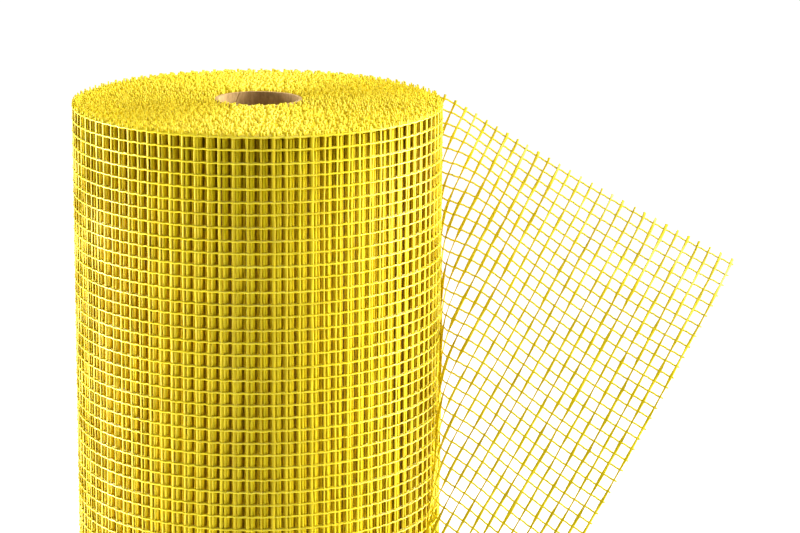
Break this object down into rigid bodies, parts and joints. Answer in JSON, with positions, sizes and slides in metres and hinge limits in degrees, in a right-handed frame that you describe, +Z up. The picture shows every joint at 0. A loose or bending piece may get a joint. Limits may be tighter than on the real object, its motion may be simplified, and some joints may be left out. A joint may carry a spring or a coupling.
{
  "type": "roll of fiberglass mesh",
  "caption": "Roll of open square fiberglass mesh on a cardboard core, standing on its end, with the upper corner of its free end peeled outward.",
  "frame": {"origin": "on the floor, at the middle of the space that the roll and its free end take up", "axes": "+Z up along the roll's axis, +X towards the side where the free end stands off the roll, -Y towards the side that its fold faces"},
  "size_m": [0.5328, 0.3134, 1],
  "materials": {
    "core_cardboard": "bare brown spiral-wound cardboard",
    "coated_yarn": "glass yarn with a yellow resin coating, half gloss"
  },
  "bodies": {
    "root": {"core_tube": "core_cardboard", "mesh_roll": "coated_yarn", "free_end": "coated_yarn"}
  },
  "joints": []
}
